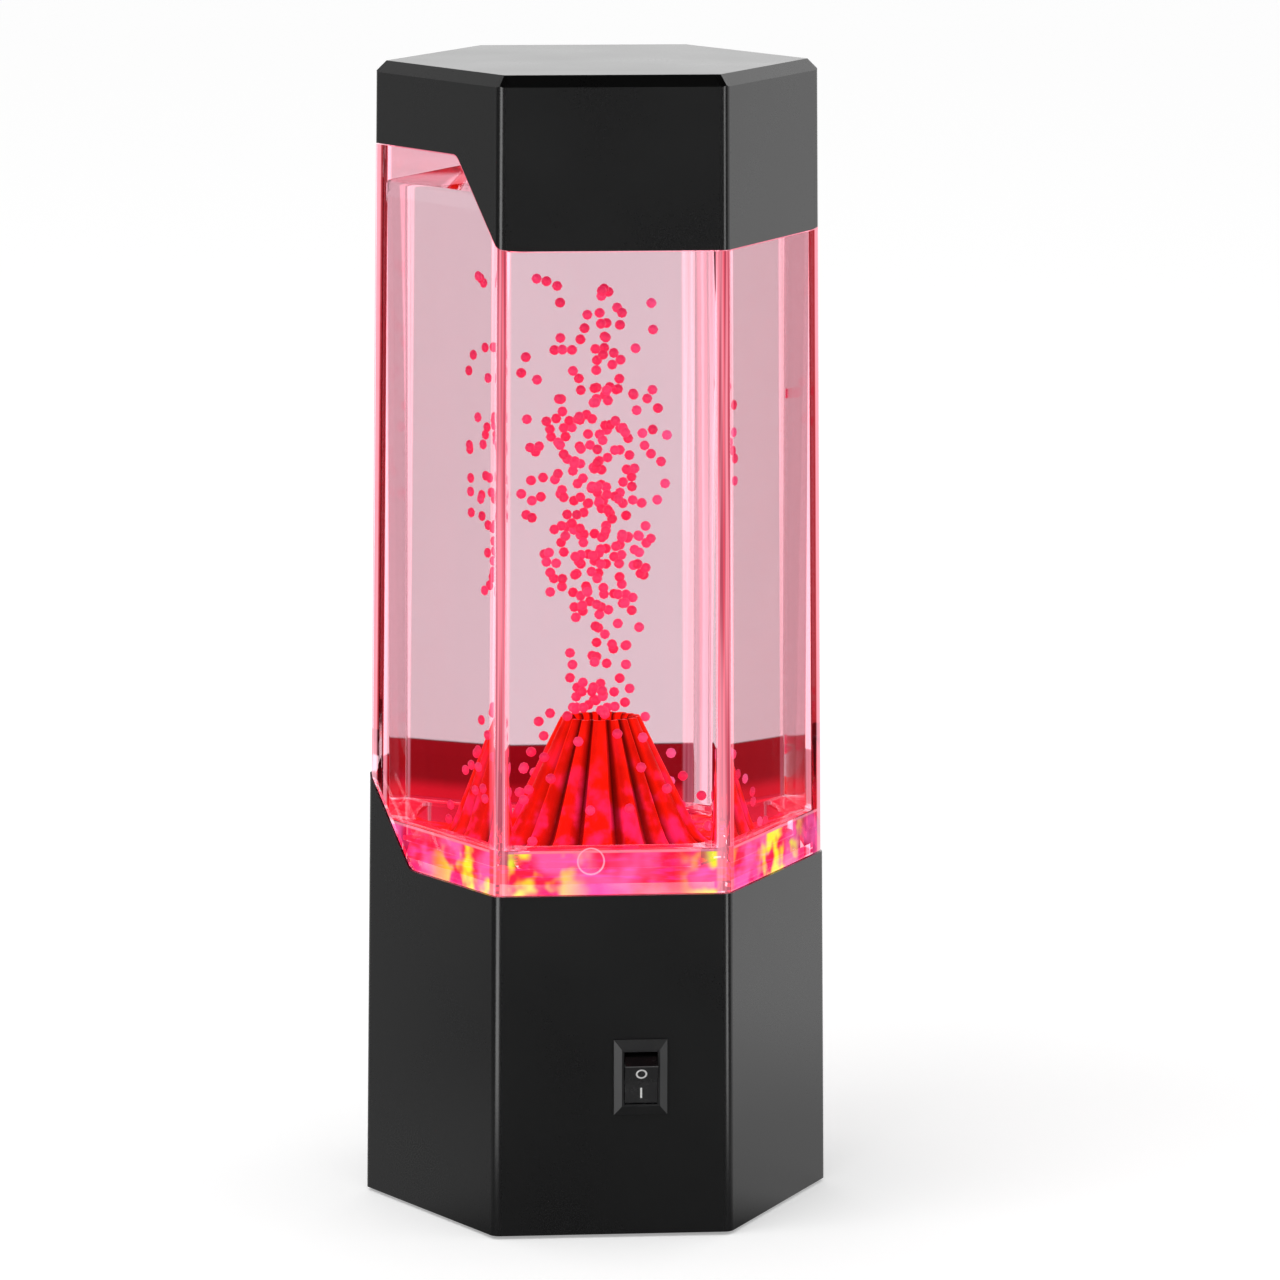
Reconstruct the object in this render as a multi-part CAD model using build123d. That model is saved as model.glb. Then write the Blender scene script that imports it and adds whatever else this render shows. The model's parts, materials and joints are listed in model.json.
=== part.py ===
"""Hexagonal volcano lamp: black base and cap, clear water tank, red fluted cone and flying beads.

The lamp stands on the XY plane with +Z up. The origin is at the middle of the base, level with the
soles of its feet, and the switch is in the front wall, which faces -Y. All lengths are millimetres.
"""
import os
from math import cos, exp, hypot, pi, radians, sin, sqrt, tan

from build123d import *

os.makedirs("parts", exist_ok=True)

# Outer form
base_radius = 66.0
draft_angle = 0.57
corner_fillet = 3.0
inner_corner_fillet = 2.0
hidden_corner_cut = 2.0
base_low_height = 95.8
base_rise = 24.5
base_slope_run = 21.5
base_crest_fillet = 1.5
base_foot_fillet = 4.0
window_height = 177.9
cap_depth = 47.4
cap_rise = 24.6
cap_slope_run = 20.8
cap_crest_fillet = 3.5
cap_foot_fillet = 7.0
cap_set_in = 0.5
top_chamfer_height = 3.1
top_chamfer_width = 2.7

# Walls, clearances and cuts
base_wall = 2.4
cap_wall = 1.9
cap_roof = 2.6
tank_wall = 4.6
tank_floor = 3.0
seam_gap = 0.3
fit_gap = 0.2
press_gap = 0.05
run_gap = 0.08
lift_gap = 0.1
root_bite = 0.8
overrun = 1.0
small_round_sides = 10
disc_sides = 28
recess_sides = 18

# Tank, gasket and water
shelf_height = 12.2
shelf_width = 9.0
well_depth = 6.5
skirt_depth = 9.6
gasket_thickness = 1.2
rim_drop = 10.2
water_headroom = 22.0
gate_disc_radius = 3.7
gate_disc_depth = 0.4
gate_disc_offset = -6.0
gate_disc_drop = 2.6

# Volcano cone
cone_height = 37.5
cone_flange = 1.2
crater_radius = 10.7
crater_throat_radius = 7.8
cone_slope_share = 0.48
cone_foot_gap = 2.0
cone_flare_fall = 1.5
chamber_gap = 2.0
chamber_height = 10.5
flute_count = 17
groove_depth_share = 0.12
groove_half_share = 0.16
flute_crown_share = 0.03
tunnel_count = 6
tunnel_width = 6.0
tunnel_height = 4.6
cone_level_shares = (0.0, 0.035, 0.07, 0.14, 1.0)

# Beads
bead_radius = 1.45
bead_count = 72
bead_spacing = 3.6
plume_height = 121.0
plume_neck_radius = 5.5
plume_belly_radius = 23.0

# Impeller and its pin
pin_radius = 1.5
pin_boss_radius = 4.0
pin_boss_height = 1.5
pin_skin = 1.0
pin_length = 15.0
impeller_radius = 13.5
impeller_disc = 4.4
impeller_hub_radius = 4.2
impeller_hub_height = 9.6
blade_count = 6
blade_height = 4.0
blade_thickness = 1.4
impeller_magnet_length = 5.2
impeller_magnet_width = 4.0
impeller_magnet_height = 3.0
impeller_magnet_circle = 8.8
magnet_count = 4

# Deck and ledge
deck_thickness = 2.5
ledge_thickness = 3.0
ledge_width = 4.5
ledge_boss_radius = 3.6
ledge_boss_height = 13.0
post_radius = 3.2
post_circle_share = 0.806
wire_hole_radius = 4.0

# Motor and drive magnets
motor_radius = 12.0
motor_half_flat = 9.6
motor_length = 30.0
motor_boss_radius = 3.1
motor_boss_height = 1.8
motor_cap_thickness = 3.4
motor_screw_circle = 8.0
motor_tab_width = 2.6
motor_tab_thickness = 0.5
motor_tab_length = 5.0
motor_tab_offset = 7.0
shaft_radius = 1.0
shaft_seat = 18.0
holder_share = 0.423
holder_thickness = 7.0
holder_gap = 1.6
holder_hub_radius = 4.0
holder_hub_drop = 3.0
drive_magnet_length = 10.0
drive_magnet_width = 6.0
drive_magnet_height = 4.0
drive_magnet_share = 0.262

# Light
led_post_height = 7.0
led_board_thickness = 1.6
led_board_gap = 1.5
led_hole_share = 0.504
led_count = 12
led_size = 5.0
led_height = 1.6
led_circle_share = 0.685
diffuser_thickness = 1.5
diffuser_rim = 1.6
diffuser_height = 4.2

# Bottom cover and feet
cover_thickness = 2.5
cover_boss_radius = 4.0
cover_boss_height = 16.0
foot_drop = 1.0
foot_radius = 6.0
foot_thickness = 2.0
foot_circle_share = 0.727
vent_count = 4
vent_width = 2.4
vent_length = 26.0
vent_pitch = 6.0

# Control board
board_length = 44.0
board_width = 30.0
board_thickness = 1.6
board_post_radius = 2.6
board_post_height = 6.0
board_margin = 3.6
board_shift = 12.0
capacitor_radius = 4.0
capacitor_height = 11.0
chip_length = 9.0
chip_width = 5.0
chip_height = 1.8
header_length = 10.0
header_width = 5.6
header_height = 7.0

# Rocker switch
switch_offset = 7.7
switch_height = 44.7
bezel_width = 14.8
bezel_height = 21.2
bezel_proud = 2.0
bezel_edge = 0.7
bezel_lip = 0.6
switch_body_width = 12.4
switch_body_height = 18.8
switch_body_depth = 13.0
rocker_width = 9.1
rocker_side_gap = 0.15
rocker_end_radius = 8.2
rocker_end_gap = 0.3
rocker_face_height = 4.5
rocker_bevel_start = 5.3
rocker_bevel_angle = 62.5
rocker_tail_depth = 3.0
rocker_tilt = 12.5
pivot_depth = 4.2
pivot_pin_radius = 1.2
pivot_pin_length = 1.0
terminal_width = 4.8
terminal_thickness = 0.8
terminal_length = 7.0
terminal_spacing = 7.4

# Power socket
socket_height = 20.0
socket_flange_radius = 5.5
socket_flange = 1.5
socket_barrel_radius = 3.9
socket_barrel_length = 15.0
socket_bore_radius = 2.75
socket_bore_depth = 9.5
socket_pin_radius = 1.05
socket_pin_recess = 1.5
nut_half_flat = 5.5
nut_thickness = 2.4
lug_width = 2.4
lug_thickness = 0.5
lug_length = 5.0
lug_spacing = 4.0

# Inner lid, seal and cap bosses
lid_thickness = 2.4
lid_rim_inset = 3.4
plug_gap = 0.5
plug_wall = 2.6
plug_depth = 9.0
seal_gap = 0.15
seal_depth = 1.2
seal_height = 3.0
seal_drop = 3.0
lid_boss_radius = 3.4
lid_boss_gap = 2.4

# Screws
screw_radius = 1.3
screw_head_radius = 2.6
screw_head_height = 1.6
screw_length = 9.0
small_screw_length = 5.0

# Levels worked out from the driving dimensions
rim_level = foot_drop
low_level = rim_level + base_low_height
raised_level = low_level + base_rise
deep_level = low_level + window_height
shallow_level = deep_level + cap_rise
top_level = deep_level + cap_depth
shelf_level = low_level + shelf_height
floor_level = shelf_level - well_depth
floor_underside = floor_level - tank_floor
skirt_level = low_level - skirt_depth
tank_top = top_level - rim_drop
water_level = tank_top - water_headroom
lid_bottom = tank_top + lift_gap
lid_top = lid_bottom + lid_thickness
deck_top = skirt_level - gasket_thickness
deck_bottom = deck_top - deck_thickness
ledge_bottom = deck_bottom - ledge_thickness
led_board_bottom = deck_top + led_post_height
led_board_top = led_board_bottom + led_board_thickness
cover_top = rim_level + cover_thickness
crater_level = floor_level + cone_height
switch_level = rim_level + switch_height
socket_level = rim_level + socket_height
holder_top = floor_underside - holder_gap
board_bottom = cover_top + board_post_height

# Insets from the outer form
sleeve_inset = base_wall + fit_gap
cavity_inset = cap_set_in + tank_wall
deck_inset = base_wall + fit_gap
well_inset = cavity_inset + shelf_width
light_inset = cavity_inset + led_board_gap
plug_inset = cavity_inset + plug_gap

# Directions of the six flats and of the two sloped faces
flat_turns = [30 + 60 * k for k in range(6)]
corner_turns = [60 * k for k in range(6)]
screw_turns = flat_turns[0::2]
boss_turns = flat_turns[1::2]
slope_normal = radians(flat_turns[3])
golden_turn = pi * (3 - sqrt(5))


def flat(level):
    """Distance from the axis to a flat of the drafted outer form at a level."""
    return base_radius * cos(pi / 6) - (level - rim_level) * tan(radians(draft_angle))


def corner(level):
    """Distance from the axis to a sharp corner of the outer form at a level."""
    return flat(level) / cos(pi / 6)


def around(radius, turn, level=0):
    """Place on a circle about the axis, with local X pointing outwards."""
    return Rot(0, 0, turn) * Pos(radius, 0, level)


def rod(radius, bottom, top):
    """Upright cylinder on the axis between two levels."""
    return Pos(0, 0, bottom) * extrude(Circle(radius), top - bottom)


def peg(radius, bottom, top, sides=small_round_sides):
    """Small upright round part between two levels, with few sides."""
    return Pos(0, 0, bottom) * extrude(RegularPolygon(radius, sides), top - bottom)


def ring_points(radius, level, sides):
    """Corners of a regular polygon at a level."""
    return [(radius * cos(2 * pi * k / sides), radius * sin(2 * pi * k / sides), level) for k in range(sides)]


def skinned(rings):
    """Solid with flat sides over a pile of outlines that are scaled copies of each other."""
    faces = [Face(Wire.make_polygon(rings[0])), Face(Wire.make_polygon(rings[-1]))]
    for low, high in zip(rings, rings[1:]):
        for k in range(len(low)):
            faces.append(Face(Wire.make_polygon([low[k - 1], low[k], high[k], high[k - 1]])))
    return Part() + Solid(Shell(faces))


def hex_block(inset, bottom, top):
    """Drafted hexagonal block with rounded corners between two levels."""
    rings = [ring_points((flat(level) - inset) / cos(pi / 6), level, 6) for level in (bottom, top)]
    block = skinned(rings)
    rising = [edge for edge in block.edges() if bottom < edge.center().Z < top]
    return fillet(rising, max(corner_fillet - inset, inner_corner_fillet))


def cut_section(inset, level):
    """Hexagon with its corners cut off, for faces that stay out of sight."""
    outline = RegularPolygon(flat(level) - inset, 6, major_radius=False)
    return Pos(0, 0, level) * chamfer(outline.vertices(), hidden_corner_cut)


def inner_block(inset, bottom, top):
    """Drafted hexagonal block with cut corners between two levels."""
    return loft([cut_section(inset, bottom), cut_section(inset, top)], ruled=True)


def inner_ring(outer_inset, inner_inset, bottom, top):
    """Drafted hexagonal ring with cut corners between two levels."""
    return inner_block(outer_inset, bottom, top) - inner_block(inner_inset, bottom - overrun, top + overrun)


def beyond_edge(start, run, high, low, rounding, limit):
    """Space from a stepped edge, which falls across the lamp from high to low, up or down to a limit."""
    reach = base_radius + base_radius
    edge = FilletPolyline((-reach, high), (start, high), (start + run, low), (reach, low), radius=rounding)
    rest = Polyline((reach, low), (reach, limit), (-reach, limit), (-reach, high))
    side = Plane((0, 0, 0), x_dir=(-sin(slope_normal), cos(slope_normal), 0),
                 z_dir=(cos(slope_normal), sin(slope_normal), 0))
    return extrude(side * make_face(edge.edges() + rest.edges()), reach, both=True)


def base_edge(lift, limit):
    """Space beyond the base's upper edge, lifted by a gap."""
    start = -corner(raised_level) / 2
    rounding = [base_crest_fillet, base_foot_fillet]
    return beyond_edge(start, base_slope_run, raised_level + lift, low_level + lift, rounding, limit)


def cap_edge(lift, limit):
    """Space beyond the cap's lower edge, lifted by a gap."""
    start = corner(deep_level) / 2 - cap_set_in - cap_slope_run
    rounding = [cap_crest_fillet, cap_foot_fillet]
    return beyond_edge(start, cap_slope_run, shallow_level + lift, deep_level + lift, rounding, limit)


def screw(length):
    """Cheese-head screw, head up, with its seat at the origin."""
    return peg(screw_head_radius, 0, screw_head_height) + peg(screw_radius, -length, 0)


def pilot(length):
    """Hole for a screw's thread, down from the origin."""
    return peg(screw_radius + press_gap, -length - overrun, overrun)


def save(name, *parts):
    """Write one sub-part, as one solid or as a group of separate ones."""
    solids = [solid for part in parts for solid in part.solids()]
    export_step(solids[0] if len(solids) == 1 else Compound(solids), f"parts/{name}.step")


switch_plane = Plane((switch_offset, -flat(switch_level), switch_level), x_dir=(1, 0, 0),
                     z_dir=(0, -cos(radians(draft_angle)), sin(radians(draft_angle))))
socket_plane = Plane((0, flat(socket_level), socket_level), x_dir=(-1, 0, 0),
                     z_dir=(0, cos(radians(draft_angle)), sin(radians(draft_angle))))
# Circles and radii that follow the outer form
light_flat = flat(led_board_top) - light_inset
post_circle = light_flat * post_circle_share
wire_hole_circle = (motor_radius + post_circle) / 2
led_circle = light_flat * led_circle_share
led_hole_radius = light_flat * led_hole_share
holder_radius = light_flat * holder_share
drive_magnet_circle = light_flat * drive_magnet_share
foot_circle = base_radius * foot_circle_share
cone_foot_radius = flat(floor_level) - well_inset - cone_foot_gap
chamber_radius = impeller_radius + chamber_gap
lid_boss_circle = flat(tank_top) - plug_inset - plug_wall - lid_boss_radius - lid_boss_gap
ledge_boss_circle = flat(deck_bottom) - cavity_inset - screw_head_radius - fit_gap
cover_boss_circle = flat(cover_top) - base_wall - cover_boss_radius + root_bite
cover_boss_circle -= (flat(cover_top) - flat(cover_top + cover_boss_height))


def base_housing():
    """Drafted shell with a stepped upper edge, a ledge for the deck, and bosses."""
    shell = hex_block(0, rim_level, raised_level + overrun) - base_edge(0, top_level)
    shell -= inner_block(base_wall, rim_level - overrun, raised_level + overrun + overrun)
    shell += inner_ring(base_wall - root_bite, base_wall + ledge_width, ledge_bottom, deck_bottom)
    for turn in boss_turns:
        web = Rectangle(flat(deck_bottom) - base_wall + root_bite - ledge_boss_circle, ledge_boss_radius,
                        align=(Align.MIN, Align.CENTER))
        boss = extrude(RegularPolygon(ledge_boss_radius, small_round_sides) + web, -ledge_boss_height)
        shell += around(ledge_boss_circle, turn, deck_bottom) * boss
        shell -= around(ledge_boss_circle, turn, deck_bottom) * pilot(screw_length - deck_thickness)
    for turn in screw_turns:
        boss = peg(cover_boss_radius, cover_top, cover_top + cover_boss_height)
        shell += around(cover_boss_circle, turn) * boss
        shell -= around(cover_boss_circle, turn, cover_top) * Rot(180, 0, 0) * pilot(screw_length)
    window = Rectangle(switch_body_width + 2 * fit_gap, switch_body_height + 2 * fit_gap)
    shell -= switch_plane * extrude(window, base_wall + overrun, both=True)
    hole = RegularPolygon(socket_barrel_radius + fit_gap, disc_sides)
    shell -= socket_plane * extrude(hole, base_wall + overrun, both=True)
    return shell


def bottom_cover():
    """Plate inside the rim, with foot pockets, screw holes, vents and posts for the board."""
    plate = inner_block(base_wall + fit_gap, rim_level, cover_top)
    for turn in corner_turns:
        pocket = peg(foot_radius + press_gap, rim_level - overrun, rim_level + foot_thickness - foot_drop)
        plate -= around(foot_circle, turn) * pocket
    for turn in screw_turns:
        hole = peg(screw_radius + fit_gap, rim_level - overrun, cover_top + overrun)
        sink = peg(screw_head_radius + fit_gap, rim_level - overrun, rim_level + screw_head_height)
        plate -= around(cover_boss_circle, turn) * (hole + sink)
    slot = extrude(Rectangle(vent_length, vent_width), cover_thickness + overrun + overrun)
    for k in range(vent_count):
        place = board_shift - board_width / 2 - vent_pitch * (k + 1)
        plate -= Pos(0, place, rim_level - overrun) * slot
    for x, y in board_holes():
        post = peg(board_post_radius, cover_top, board_bottom)
        plate += Pos(x, y, 0) * post
        plate -= Pos(x, y, board_bottom) * pilot(small_screw_length - board_thickness)
    return plate


def board_holes():
    """Four screw places of the control board."""
    x = board_length / 2 - board_margin
    y = board_width / 2 - board_margin
    return [(sx * x, board_shift + sy * y) for sx in (-1, 1) for sy in (-1, 1)]


def control_board():
    """Circuit board on the cover's posts."""
    board = Pos(0, board_shift, board_bottom) * extrude(Rectangle(board_length, board_width), board_thickness)
    for x, y in board_holes():
        board -= Pos(x, y, 0) * peg(screw_radius + fit_gap, board_bottom - overrun,
                                    board_bottom + board_thickness + overrun)
    return board


def board_parts():
    """Capacitor, driver chip and two wire headers, standing on the board."""
    top = board_bottom + board_thickness
    capacitor = Pos(-board_length / 4, board_shift, 0) * peg(capacitor_radius, top, top + capacitor_height)
    chip = Pos(0, board_shift, top) * extrude(Rectangle(chip_length, chip_width), chip_height)
    parts = [capacitor, chip]
    for side in (-1, 1):
        block = extrude(Rectangle(header_width, header_length), header_height)
        block -= Pos(0, 0, header_height / 3) * extrude(
            Rectangle(header_width * 2 / 3, header_length * 4 / 5), header_height)
        place = board_length / 4 + side * header_width * 2 / 3
        parts.append(Pos(place, board_shift, top) * block)
    return parts


def deck_plate():
    """Plate on the base's ledge that carries the motor below and the light above."""
    plate = inner_block(deck_inset, deck_bottom, deck_top)
    plate -= peg(motor_boss_radius + run_gap + fit_gap, deck_bottom - overrun, deck_top + overrun)
    for turn in boss_turns:
        plate -= around(ledge_boss_circle, turn) * peg(screw_radius + fit_gap, deck_bottom - overrun,
                                                       deck_top + overrun)
        plate += around(post_circle, turn) * peg(post_radius, deck_top, led_board_bottom)
        plate -= around(post_circle, turn, led_board_bottom) * pilot(small_screw_length)
    for side in (-1, 1):
        hole = peg(screw_radius + fit_gap, deck_bottom - overrun, deck_top + overrun)
        plate -= Pos(side * motor_screw_circle, 0, 0) * hole
    plate -= Pos(0, wire_hole_circle, 0) * peg(wire_hole_radius, deck_bottom - overrun, deck_top + overrun)
    return plate


def flat_sided(radius, bottom, top):
    """Motor outline: a cylinder with two flats."""
    outline = Circle(radius) & Rectangle(2 * radius, 2 * motor_half_flat)
    return Pos(0, 0, bottom) * extrude(outline, top - bottom)


def motor_can():
    """Drawn steel can with a bearing boss that locates in the deck."""
    can = flat_sided(motor_radius, deck_bottom - motor_length, deck_bottom)
    can += peg(motor_boss_radius, deck_bottom, deck_bottom + motor_boss_height)
    can -= rod(shaft_radius + run_gap, deck_bottom - shaft_seat - run_gap, deck_top)
    for side in (-1, 1):
        can -= Pos(side * motor_screw_circle, 0, deck_bottom) * pilot(small_screw_length - deck_thickness)
    return can


def motor_end_cap():
    """Moulded brush cap that closes the can."""
    bottom = deck_bottom - motor_length - motor_cap_thickness
    return flat_sided(motor_radius, bottom, deck_bottom - motor_length)


def motor_terminals():
    """Two solder tabs under the brush cap."""
    bottom = deck_bottom - motor_length - motor_cap_thickness
    tab = extrude(Rectangle(motor_tab_thickness, motor_tab_width), -motor_tab_length)
    return [Pos(side * motor_tab_offset, 0, bottom) * tab for side in (-1, 1)]


def magnet_holder():
    """Disc pressed on the motor shaft, with four magnet pockets on top."""
    disc = peg(holder_radius, holder_top - holder_thickness, holder_top, disc_sides)
    disc += peg(holder_hub_radius, holder_top - holder_thickness - holder_hub_drop, holder_top)
    disc -= rod(shaft_radius + press_gap, deck_top, holder_top - holder_thickness / 3)
    for k in range(magnet_count):
        pocket = Rectangle(drive_magnet_width + 2 * press_gap, drive_magnet_length + 2 * press_gap)
        pocket = extrude(pocket, drive_magnet_height + overrun)
        disc -= around(drive_magnet_circle, 360 / magnet_count * k, holder_top - drive_magnet_height) * pocket
    return disc


def led_board():
    """Hexagonal light board round the magnet holder."""
    board = inner_block(light_inset, led_board_bottom, led_board_top)
    board -= peg(led_hole_radius, led_board_bottom - overrun, led_board_top + overrun)
    for turn in boss_turns:
        board -= around(post_circle, turn) * peg(screw_radius + fit_gap, led_board_bottom - overrun,
                                                 led_board_top + overrun)
    return board


def leds():
    """Ring of square light packages on the board."""
    package = Pos(0, 0, led_board_top) * extrude(Rectangle(led_size, led_size), led_height)
    return [around(led_circle, 360 / led_count * (k + 1 / 2)) * package for k in range(led_count)]


def light_diffuser():
    """Frosted tray, open below, that stands on the light board over the lights."""
    top = led_board_top + diffuser_height
    ceiling = top - diffuser_thickness
    tray = inner_block(light_inset, led_board_top, top)
    room = inner_block(light_inset + diffuser_rim, led_board_top - overrun, ceiling)
    room -= peg(led_hole_radius + diffuser_rim, led_board_top - overrun, top)
    return tray - room - peg(led_hole_radius, led_board_top - overrun, top + overrun)


def tank():
    """Clear vessel: a sleeve in base and cap, a thicker band between them, and a well in its floor."""
    body = inner_block(sleeve_inset, skirt_level, tank_top)
    band = hex_block(cap_set_in, low_level, shallow_level)
    band -= base_edge(seam_gap, rim_level)
    band -= cap_edge(-seam_gap, top_level + overrun)
    body += band
    body -= hex_block(cavity_inset, shelf_level, tank_top + overrun)
    body -= inner_block(well_inset, floor_level, shelf_level + overrun)
    body -= inner_block(cavity_inset, skirt_level - overrun, floor_underside)
    body += peg(pin_boss_radius, floor_underside, floor_level + pin_boss_height)
    body -= rod(pin_radius + press_gap, floor_underside + pin_skin, floor_level + pin_boss_height + overrun)
    gate_level = shelf_level - gate_disc_drop
    gate = extrude(RegularPolygon(gate_disc_radius, disc_sides), gate_disc_depth, both=True)
    gate = Rot(90 - draft_angle, 0, 0) * gate
    body -= Pos(gate_disc_offset, cap_set_in - flat(gate_level), gate_level) * gate
    return body


def cone_radius(height):
    """Outer radius of the cone at a height above its flange: straight flank and a quick flare."""
    flank = crater_radius + cone_slope_share * (cone_height - height)
    flare = cone_foot_radius - crater_radius - cone_slope_share * cone_height
    return flank + flare * exp(-height / cone_flare_fall)


def cone_section(height):
    """Fluted outline at a height: crowned flutes between narrow grooves of uneven depth."""
    points = []
    radius = cone_radius(height)
    for k in range(flute_count):
        middle = k + sin(2 * k) / 7
        depth = groove_depth_share * (1 - sin(k * k) / 3)
        for place, share in ((middle - groove_half_share, 1), (middle, 1 - depth),
                             (middle + groove_half_share, 1), (k + 1 / 2, 1 + flute_crown_share)):
            turn = 2 * pi * place / flute_count
            points.append((radius * share * cos(turn), radius * share * sin(turn), floor_level + height))
    return points


def volcano_cone():
    """Fluted cone on a flange in the well, hollow over the impeller, with tunnels at its foot."""
    cone = skinned([cone_section(share * cone_height) for share in cone_level_shares])
    cone += inner_block(well_inset + fit_gap, floor_level, floor_level + cone_flange)
    hollow = ((chamber_radius, floor_level - overrun), (chamber_radius, floor_level + chamber_height),
              (crater_throat_radius, crater_level - overrun),
              (crater_throat_radius + overrun, crater_level + overrun))
    cone -= skinned([ring_points(radius, level, recess_sides) for radius, level in hollow])
    arch = Polygon((-tunnel_width / 2, 0), (tunnel_width / 2, 0), (tunnel_width / 2, tunnel_height / 2),
                   (tunnel_width / 4, tunnel_height), (-tunnel_width / 4, tunnel_height),
                   (-tunnel_width / 2, tunnel_height / 2), align=None)
    bore = Plane.YZ * extrude(arch, base_radius)
    for k in range(tunnel_count):
        cone -= around(0, 360 / tunnel_count * k, floor_level + cone_flange) * bore
    return cone


def impeller():
    """Disc with a tall hub and six blades, magnets set in below, turning on the pin."""
    bottom = floor_level + pin_boss_height + lift_gap
    disc = peg(impeller_radius, bottom, bottom + impeller_disc, disc_sides)
    disc += peg(impeller_hub_radius, bottom, bottom + impeller_hub_height)
    blade = extrude(Rectangle(impeller_radius - pin_radius - root_bite, blade_thickness,
                              align=(Align.MIN, Align.CENTER)), impeller_disc + blade_height)
    for k in range(blade_count):
        disc += around(pin_radius, 360 / blade_count * k, bottom) * blade
    disc -= rod(pin_radius + run_gap, bottom - overrun, bottom + impeller_hub_height + overrun)
    for k in range(magnet_count):
        pocket = Rectangle(impeller_magnet_width + 2 * press_gap, impeller_magnet_length + 2 * press_gap)
        pocket = extrude(pocket, impeller_magnet_height + overrun)
        disc -= around(impeller_magnet_circle, 360 / magnet_count * k, bottom - overrun) * pocket
    return disc


def magnets(width, length, height, circle, bottom):
    """Ring of block magnets."""
    magnet = extrude(Rectangle(width, length), height)
    return [around(circle, 360 / magnet_count * k, bottom) * magnet for k in range(magnet_count)]


def plume_radius(share):
    """Half width of the bead cloud at a share of its height: narrow neck, wide belly, rounded top."""
    swell = sin(pi * share ** 1.3) ** 0.8
    return plume_neck_radius + (plume_belly_radius - plume_neck_radius) * swell


def lava_beads():
    """Faceted beads in a cloud over the crater, each kept clear of the ones before it."""
    ratio = (1 + sqrt(5)) / 2
    scale = bead_radius / hypot(1, ratio)
    corners = [(a * scale, b * ratio * scale) for a in (-1, 1) for b in (-1, 1)]
    points = [(0, a, b) for a, b in corners]
    points += [(a, b, 0) for a, b in corners]
    points += [(b, 0, a) for a, b in corners]
    bead = ConvexPolyhedron(points).solid()
    places = []
    step = 0
    while len(places) < bead_count:
        step += 1
        share = (step * sqrt(2)) % 1
        radius = plume_radius(share) * sqrt((step * sqrt(3)) % 1)
        turn = step * golden_turn
        height = crater_level + bead_radius + bead_radius + share * plume_height
        place = Vector(radius * cos(turn), radius * sin(turn), height)
        if all((place - other).length > bead_spacing for other in places):
            places.append(place)
    return [Pos(place) * bead for place in places]


def water():
    """Filling of the tank, with room for the cone."""
    fill = hex_block(cavity_inset + lift_gap, shelf_level, water_level)
    fill += inner_block(well_inset + lift_gap, floor_level + cone_flange, shelf_level + overrun)
    rings = []
    for share in cone_level_shares:
        radius = cone_radius(share * cone_height) * (1 + flute_crown_share) + seam_gap
        level = floor_level + share * (cone_height + seam_gap)
        rings.append(ring_points(radius / cos(pi / recess_sides), level, recess_sides))
    return fill - skinned(rings)


def switch_body():
    """Snap-in housing with a mitred bezel, hollow round the rocker's swing."""
    body = extrude(Rectangle(switch_body_width, switch_body_height), -switch_body_depth)
    flange = extrude(Rectangle(bezel_width, bezel_height), bezel_edge)
    lip_width = rocker_width + 2 * rocker_side_gap + 2 * bezel_lip
    lip_height = 2 * sqrt((rocker_end_radius + rocker_end_gap) ** 2 - pivot_depth ** 2) + 2 * bezel_lip
    slope = loft([Pos(0, 0, bezel_edge) * Rectangle(bezel_width, bezel_height),
                  Pos(0, 0, bezel_proud) * Rectangle(lip_width, lip_height)], ruled=True)
    body += flange + slope
    pivot = Pos(0, 0, bezel_proud - pivot_depth) * Rot(0, 90, 0)
    swing_width = rocker_width + 2 * rocker_side_gap
    body -= pivot * Cylinder(rocker_end_radius + rocker_end_gap, swing_width)
    body -= pivot * Cylinder(pivot_pin_radius + run_gap, swing_width + 2 * pivot_pin_length)
    return switch_plane * body


def switch_rocker():
    """Rocker with two flat faces in a shallow V and a bevelled upper end, its lower end pressed in."""
    slant = radians(rocker_tilt)
    middle = rocker_face_height / cos(slant)
    reach = rocker_end_radius + overrun
    ridge = middle + rocker_bevel_start * tan(slant)
    bevel_fall = (reach - rocker_bevel_start) * tan(radians(rocker_bevel_angle))
    wedge = Polygon((0, middle), (-reach, middle + reach * tan(slant)), (-reach, -rocker_tail_depth),
                    (reach, -rocker_tail_depth), (reach, ridge - bevel_fall), (rocker_bevel_start, ridge),
                    align=None)
    rocker = extrude(Plane.YZ * (Circle(rocker_end_radius) & wedge), rocker_width / 2, both=True)
    pin_length = rocker_width + 2 * (rocker_side_gap + pivot_pin_length - run_gap)
    rocker += Rot(0, 90, 0) * Cylinder(pivot_pin_radius, pin_length)
    return switch_plane * Pos(0, 0, bezel_proud - pivot_depth) * Rot(rocker_tilt, 0, 0) * rocker


def switch_terminals():
    """Two brass blades behind the switch."""
    blade = extrude(Rectangle(terminal_width, terminal_thickness), -terminal_length)
    return [switch_plane * Pos(0, side * terminal_spacing / 2, -switch_body_depth) * blade
            for side in (-1, 1)]


def power_socket():
    """Barrel socket with a round flange outside the wall."""
    flange = extrude(RegularPolygon(socket_flange_radius, disc_sides), socket_flange)
    flange = chamfer(flange.edges().group_by(Axis.Z)[-1], socket_flange / 3)
    body = flange + extrude(RegularPolygon(socket_barrel_radius, disc_sides), -socket_barrel_length)
    bore = extrude(RegularPolygon(socket_bore_radius, disc_sides), socket_bore_depth)
    body -= Pos(0, 0, socket_flange - socket_bore_depth) * bore
    return socket_plane * body


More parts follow.
